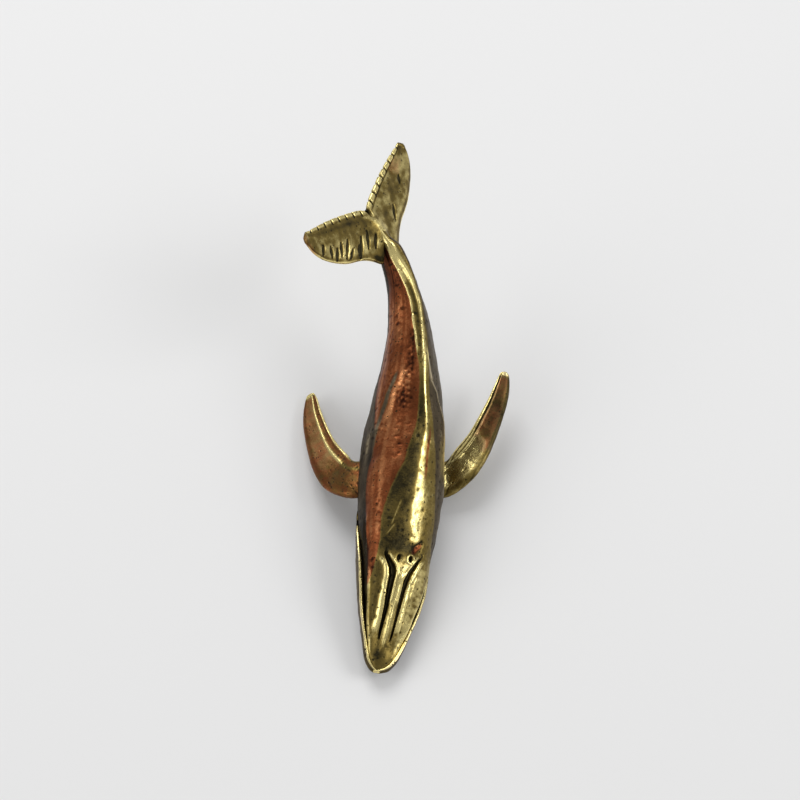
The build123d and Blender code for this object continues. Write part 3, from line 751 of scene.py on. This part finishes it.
def make_flipper(name, node, root, along, face, inward, side, seed):
    """One flipper from inside the body to its tip. Side is 1 on the right and -1 on the left."""
    along = unit(np.array(along))
    face = np.array(face)
    face = unit(face - along * (face @ along))
    across = np.cross(face, along)
    front = (np.array(root) * mm + np.outer(lead_along_shares, along) * flipper_length
             + np.outer(lead_out_shares, across) * flipper_chord * side)
    back_edge = (np.array(root) * mm + np.outer(trail_along_shares, along) * flipper_length
                 + np.outer(trail_out_shares, across) * flipper_chord * side)
    inward = unit(np.array(inward)) * flipper_bury
    turned = unit(np.cross(back_edge[0] - front[0], inward)) * -side
    front = np.concatenate((front[:1] + inward, front))
    back_edge = np.concatenate((back_edge[:1] + inward, back_edge))
    blade_faces = np.repeat(face[None], len(front) - 2, axis=0)
    faces = np.concatenate((turned[None], unit(turned + face)[None], blade_faces))
    thick = np.array((thickness_shares[0],) + thickness_shares) * flipper_thickness
    at = np.linspace(0, len(front) - 1, 230)
    points, chord_share, sheet, flat = blade_points(
        through(front, at), through(back_edge, at), through(faces, at),
        np.maximum(through(thick, at), thinnest), 180)
    place = np.broadcast_to(at[:, None], chord_share.shape)
    blade = rising(place, 1.6, 2.6) * (1 - rising(place, 8.5, 9.0))
    root_end = 1 - rising(place, 1.8, 3.4)
    wave = 0.05 * uneven(points, 0.006, seed) + 0.02 * uneven(points, 0.002, seed + 1)
    pock = np.minimum(uneven(points, 0.0009, seed + 2, 2) + 0.35, 0.0) * root_end
    features = [
        (blade * hill(chord_share, 0.4, 0.25), -0.08, 0.0),
        (wave, 1.0, 2.5),
        (pock, 0.12, 1.0),
        (rising(place, 8.25, 8.8), 0.0, 1.5),
    ]
    if side > 0:
        inner_line = hill(chord_share, 0.74, 0.045)
        features += [
            (blade * inner_line, 0.10, 0.8),
            (blade * hill(chord_share, 0.87, 0.05), -0.08, 0.0),
            (blade * hill(chord_share, 0.86, 0.05), 0.0, -0.3),
            (blade * hill(chord_share, 0.98, 0.04), 0.08, 0.0),
            (blade * hill(chord_share, 0.99, 0.04), 0.0, 1.9),
            (blade * hill(chord_share, 0.0, 0.015), 0.0, 0.5),
            (blade * between(chord_share, 0.3, 0.65, 0.15), 0.0, 0.35),
        ]
        copper = 0.60 * between(chord_share, -0.1, 0.93, 0.05) - 0.35 * inner_line
        grey = np.zeros(chord_share.shape)
    else:
        engraved = hill(chord_share, 0.80, 0.030)
        root_patch = between(place, 1.4, 3.8, 0.9) * between(chord_share, 0.25, 0.8, 0.15) * (sheet > 0)
        features += [
            (blade * engraved, -0.26, -1.8),
            (blade * hill(chord_share, 0.92, 0.07), 0.13, 0.0),
            (blade * between(chord_share, 0.88, 1.1, 0.04), 0.0, 2.0),
            (blade * hill(chord_share, 0.68, 0.03), 0.06, 0.0),
            (blade * hill(chord_share, 0.69, 0.022), 0.0, 1.1),
            (root_patch, 0.0, 1.3),
            (blade * between(chord_share, -0.1, 0.62, 0.1) * rising(place, 3.6, 5.0), 0.0, -0.35),
        ]
        copper = 0.50 * between(chord_share, 0.1, 0.77, 0.04) * rising(place, 3.0, 4.4)
        grey = 0.45 * between(chord_share, -0.1, 0.66, 0.1) * rising(place, 3.0, 4.4)
    height, relief = laid(features)
    points = points + flat[:, None] * (sheet * height * mm)[..., None]
    tip_narrowing = 0.45 * rising(place, 8.8, 9.0)[..., None]
    points = points * (1 - tip_narrowing) + points.mean(axis=1, keepdims=True) * tip_narrowing
    piece = tube_object(name, points, {
        "relief": limited(relief - 0.08),
        "copper": copper * (1 - rising(place, 8.0, 8.7)),
        "grey": grey,
    })
    piece.data.materials.append(cast_brass(name + " brass", brass_dark, brass_plain, brass_rubbed))
    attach(piece, "root")
    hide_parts(node)


make_flipper("flipper_right", "right_flipper", root=(-6.5, 14.0, 6.66), along=(-0.35, 0.91, -0.24),
             face=(-0.43, 0.07, 0.90), inward=(0.97, 0.09, 0.2), side=1, seed=21)
make_flipper("flipper_left", "left_flipper", root=(8.21, 16.0, 3.02), along=(0.48, 0.85, 0.22),
             face=(-0.46, 0.02, 0.89), inward=(-0.82, 0.08, 0.565), side=-1, seed=31)

# Fluke. Two lobes in one piece of cast brass, brazed to the tail stock by a short root. Nicks are
# filed across the trailing edge, and strokes are engraved across the lobes.
fluke_span = 29.6 * mm
fluke_length = 12.7 * mm
fluke_thickness = 2.0 * mm
lead_out = np.array((0, 0.13, 0.24, 0.42, 0.6, 0.78, 0.91, 0.98, 1.0)) * fluke_span / 2
lead_along = np.array((0.30, 0.01, 0.08, 0.23, 0.32, 0.46, 0.61, 0.76, 0.88)) * fluke_length
trail_out = np.array((0, 0.08, 0.18, 0.35, 0.55, 0.73, 0.84, 0.9, 0.93)) * fluke_span / 2
trail_along = np.array((0.64, 0.71, 0.76, 0.83, 0.9, 0.95, 0.975, 0.99, 1.0)) * fluke_length
lobe_thickness = np.array((1.0, 0.9, 0.8, 0.7, 0.6, 0.52, 0.45, 0.38, 0.3)) * fluke_thickness
tip_rows = 13
tip_roundness = 0.35
fluke_seat = np.array((-0.6, 45.4, 21.7)) * mm
fluke_across = unit(np.array((0.49, 0.82, -0.28)))
fluke_face = np.array((0.75, -0.24, 0.62))
fluke_face = unit(fluke_face - fluke_across * (fluke_face @ fluke_across))
fluke_along = np.cross(fluke_face, fluke_across)
share = np.linspace(0, 8, 190)
lobe = np.stack((through(lead_out, share), through(lead_along, share),
                 through(trail_out, share), through(trail_along, share)), axis=-1)
lobe[:, (0, 2)] = np.maximum(lobe[:, (0, 2)], 0.0)
tip_middle = (lobe[-1, :2] + lobe[-1, 2:]) / 2
tip_half = (lobe[-1, :2] - lobe[-1, 2:]) / 2
tip_out = np.array((-tip_half[1], tip_half[0])) * tip_roundness
round_turns = np.linspace(0, math.radians(84), tip_rows)[1:, None]
tip = np.concatenate((tip_middle + tip_half * np.cos(round_turns) + tip_out * np.sin(round_turns),
                      tip_middle - tip_half * np.cos(round_turns) + tip_out * np.sin(round_turns)), axis=1)
lobe = np.concatenate((lobe, tip))
share = np.concatenate((share, np.full(len(tip), 8.0)))
span_place = np.concatenate((-share[::-1], share[1:]))
lobe = np.concatenate((lobe[::-1] * (-1, 1, -1, 1), lobe[1:]))
thick = np.concatenate((through(lobe_thickness, share)[::-1], through(lobe_thickness, share)[1:]))
front = fluke_seat + lobe[:, :1] * fluke_across + lobe[:, 1:2] * fluke_along
back_edge = fluke_seat + lobe[:, 2:3] * fluke_across + lobe[:, 3:4] * fluke_along
faces = np.repeat(fluke_face[None], len(thick), axis=0)
points, chord_share, sheet, flat = blade_points(front, back_edge, faces, np.maximum(thick, thinnest), 220)
place = np.broadcast_to(span_place[:, None], chord_share.shape)
across = (points - fluke_seat) @ fluke_across / mm
along = (points - fluke_seat) @ fluke_along / mm
upper = sheet > 0
blade = rising(np.abs(place), 0.3, 1.2) * (1 - rising(np.abs(place), 7.4, 8.0))
rim = hill(chord_share, 0.98, 0.045)
inner_cut = hill(chord_share, 0.895, 0.016) * rising(across, -5.0, 4.0)
cleft = hill(across, 0.0, 0.30) * rising(along, 6.4, 7.8)
spine = hill(across, 0.0, 0.9) * (1 - rising(along, 4.0, 8.0))
spine_top = hill(across, 0.0, 0.45) * between(along, 3.0, 7.0, 1.2)
root_shade = hill(along, 1.2, 1.5) * between(across, -3.4, -0.9, 0.8)

# The engraved strokes. Each runs between two places in millimetres, across and along the lobes, and
# is widest halfway.
strokes = (
    ((-1.4, 4.6), (-2.6, 3.0)),
    ((-2.6, 6.0), (-4.1, 3.7)),
    ((-4.3, 6.0), (-6.4, 3.4)),
    ((-5.5, 5.2), (-6.4, 4.1)),
    ((-7.2, 7.2), (-9.0, 5.1)),
    ((-7.1, 5.5), (-8.3, 4.6)),
    ((-8.7, 7.6), (-9.8, 5.9)),
    ((-9.9, 7.3), (-11.0, 5.9)),
    ((-10.9, 8.3), (-11.6, 6.9)),
    ((-12.1, 9.2), (-13.1, 8.2)),
    ((5.6, 5.9), (4.4, 4.0)),
    ((10.1, 8.8), (9.5, 7.8)),
)
engraved = np.zeros(across.shape)
for (from_across, from_along), (to_across, to_along) in strokes:
    way = np.array((to_across - from_across, to_along - from_along))
    run = np.clip(((across - from_across) * way[0] + (along - from_along) * way[1]) / (way @ way), 0, 1)
    gap = np.hypot(across - from_across - run * way[0], along - from_along - run * way[1])
    stroke_width = 0.13 + 0.17 * np.sin(math.pi * np.clip(run, 0.08, 0.92))
    engraved = np.maximum(engraved, hill(gap, 0.0, stroke_width))
between_strokes = between(across, -13.0, -1.0, 0.6) * between(chord_share, 0.10, 0.42, 0.15)

wave = 0.05 * uneven(points, 0.006, 41) + 0.02 * uneven(points, 0.002, 42)
height, relief = laid([
    (blade * rim, 0.08, 1.8),
    (blade * inner_cut, -0.08, -0.9),
    (blade * hill(chord_share, 0.84, 0.05), -0.06, 0.0),
    (blade * hill(chord_share, 0.78, 0.06), 0.0, -0.25),
    (blade * hill(chord_share, 0.5, 0.3), -0.10, 0.0),
    (blade * hill(chord_share, 0.09, 0.05), 0.0, -0.5),
    (blade * hill(chord_share, 0.02, 0.02), 0.0, 1.3),
    (rising(across, -2.0, 3.0), 0.0, 0.12),
    (upper * uneven(points, 0.0042, 43), 0.0, 0.30),
    (upper * uneven(points, 0.0014, 44, 2), 0.0, 0.22),
    (upper * root_shade, 0.0, -0.9),
    (cleft, -0.5, -1.8),
    (upper * spine, 0.30, 0.0),
    (upper * spine_top, 0.0, 0.9),
    (upper * engraved, -0.26, -2.0),
    (upper * between_strokes, 0.0, 0.25),
    (wave, 1.0, 2.5),
])
points = points + flat[:, None] * (sheet * height * mm)[..., None]
red_tip = 0.55 * hill(across, -14.8, 1.0) + 0.3 * hill(across, -10.5, 2.5) * rim
red_patch = 0.38 * hill(across, 10.0, 3.5) * between(chord_share, 0.6, 0.88, 0.1)
out_share = np.abs(through(trail_out, np.abs(span_place)) / (fluke_span / 2))
fluke = tube_object("fluke", points, {
    "relief": limited(relief + 0.02),
    "copper": np.maximum(red_tip, red_patch),
    "grey": np.zeros(across.shape),
    "across": out_share[:, None] * np.ones(across.shape),
    "zone": rising(chord_share, 0.87, 0.92) * blade,
})
fluke_metal = cast_brass("fluke brass", brass_dark, brass_plain, brass_rubbed)
cut_rows(fluke, "nicks", fluke_metal, count=9.2, depth=0.17 * mm, sharpness=14.0, way=tuple(-fluke_along))
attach(fluke, "root")
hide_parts("tail_fluke")

# Root of the fluke. The taper of solid brass that carries the section of the tail stock and its filed
# band into the lobes. It starts with the collar that lies over the end of the back casting.
hub_reach = 5.6 * mm
hub_lift = 0.45 * mm
hub_half_width = 0.95 * mm
hub_half_depth = 0.5 * mm
stock_end = 17.0
frames = body_frame(np.linspace(16.6, stock_end, 9))
middle, left, up, tailward = (direction[-1] for direction in frames)
hub_end = fluke_seat + fluke_along * hub_reach + fluke_face * hub_lift
side, rise = ring_sides(np.array((stock_end, stock_end)), np.radians(turn_degrees)[None, :], 0.0)
share = np.linspace(0, 1, 70)
run = np.linalg.norm(hub_end - middle)
spine_line = eased(share[:, None], middle, tailward * run, hub_end, fluke_along * run)
turning = rising(share, 0.0, 1.0)[:, None]
left_way = unit(left * (1 - turning) + fluke_across * turning)
up_way = unit(up * (1 - turning) + fluke_face * turning)
taper = ((1 - share) ** 1.2)[:, None]
width = side[:1] * taper + hub_half_width * np.sin(np.radians(turn_degrees)) * (1 - taper)
depth = rise[:1] * taper + hub_half_depth * np.cos(np.radians(turn_degrees)) * (1 - taper)
points = skin_points(spine_line, left_way, up_way, width, depth)
degrees = np.broadcast_to(turn_degrees, width.shape)
tail_share = np.broadcast_to(share[:, None], width.shape)
crest_line = -36.0 + 22.0 * tail_share
band_line = -64.0 + 30.0 * tail_share
# The crest and the band stay bright, partly as rubbed metal and partly as a painted highlight, and painted
# shade darkens the lower right of the root, where it runs in under the lobes.
relief = 1.5 * hill(degrees, crest_line, 8.0) + 0.9 * hill(degrees, band_line, 5.0)
relief += 0.6 * between(degrees, band_line, crest_line, 4.0)
relief -= 0.9 * between(degrees, -130.0, band_line - 14.0, 8.0)
root_slope = (points[1] - points[0]) / np.linalg.norm(spine_line[1] - spine_line[0])
easing = (1 - rising(share, 0.0, 0.6))[:, None, None]
bend = (stock_slope - root_slope) * (share * run)[:, None, None]
points = points + (collar[-1] - points[0] + bend) * easing
bump = (0.05 * uneven(points, 0.003, 51) + 0.12 * hill(degrees, crest_line, 6.0)
        + 0.10 * hill(degrees, band_line, 5.0))
own_share = rising(tail_share, 0.0, 0.3)
points = points + outward(points) * (bump * own_share * mm)[..., None]
relief = collar_relief[-1] * (1 - own_share) + limited(relief + 2 * bump) * own_share
copper = collar_copper[-1] * (1 - rising(tail_share, 0.15, 0.5))
grey = collar_grey[-1] * (1 - rising(tail_share, 0.3, 0.8))
root = tube_object("fluke_root", np.concatenate((collar[:-1], points)), {
    "relief": np.concatenate((collar_relief[:-1], relief)),
    "copper": np.concatenate((collar_copper[:-1], copper)),
    "grey": np.concatenate((collar_grey[:-1], grey)),
})
root.data.materials.append(fluke_metal)
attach(root, "root")
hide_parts("tail_fluke")

# Floor. A plain pale table top that runs on past the picture. It is dull, and only soft shadows lie
# on it.
floor_reach = 3.0
floor_mesh = bpy.data.meshes.new("floor")
floor_corners = [(-floor_reach, -floor_reach, 0), (floor_reach, -floor_reach, 0),
                 (floor_reach, floor_reach, 0), (-floor_reach, floor_reach, 0)]
floor_mesh.from_pydata(floor_corners, [], [(0, 1, 2, 3)])
floor = bpy.data.objects.new("floor", floor_mesh)
bpy.context.scene.collection.objects.link(floor)
paper = bpy.data.materials.new("floor paper")
paper.use_nodes = True
paper.node_tree.nodes["Principled BSDF"].inputs["Base Color"].default_value = (0.8, 0.8, 0.8, 1.0)
paper.node_tree.nodes["Principled BSDF"].inputs["Roughness"].default_value = 0.9
paper.node_tree.nodes["Principled BSDF"].inputs["Specular IOR Level"].default_value = 0.0
floor_mesh.materials.append(paper)

# Light. A pale room with three soft lamps, over the tail and to each side. They are kept low, so that
# the floor stays short of white.
world = bpy.data.worlds.new("world")
bpy.context.scene.world = world
world.use_nodes = True
world.node_tree.nodes["Background"].inputs["Color"].default_value = (1.0, 1.0, 1.0, 1.0)
world.node_tree.nodes["Background"].inputs["Strength"].default_value = 0.45
for name, spot, size, watts in (
    ("lamp over the tail", (-0.10, 0.35, 0.45), 0.32, 1.3),
    ("lamp at the right", (0.45, -0.05, 0.40), 0.28, 1.05),
    ("lamp at the left", (-0.45, -0.10, 0.30), 0.30, 0.6),
):
    lamp_data = bpy.data.lights.new(name, "AREA")
    lamp_data.size = size
    lamp_data.energy = watts
    lamp = bpy.data.objects.new(name, lamp_data)
    lamp.location = spot
    aim = np.array((0.0, 0.02, 0.01)) - np.array(spot)
    lamp.rotation_euler = (math.acos(-aim[2] / np.linalg.norm(aim)), 0.0, math.atan2(-aim[0], aim[1]))
    bpy.context.scene.collection.objects.link(lamp)

bpy.context.scene.view_settings.view_transform = "Standard"
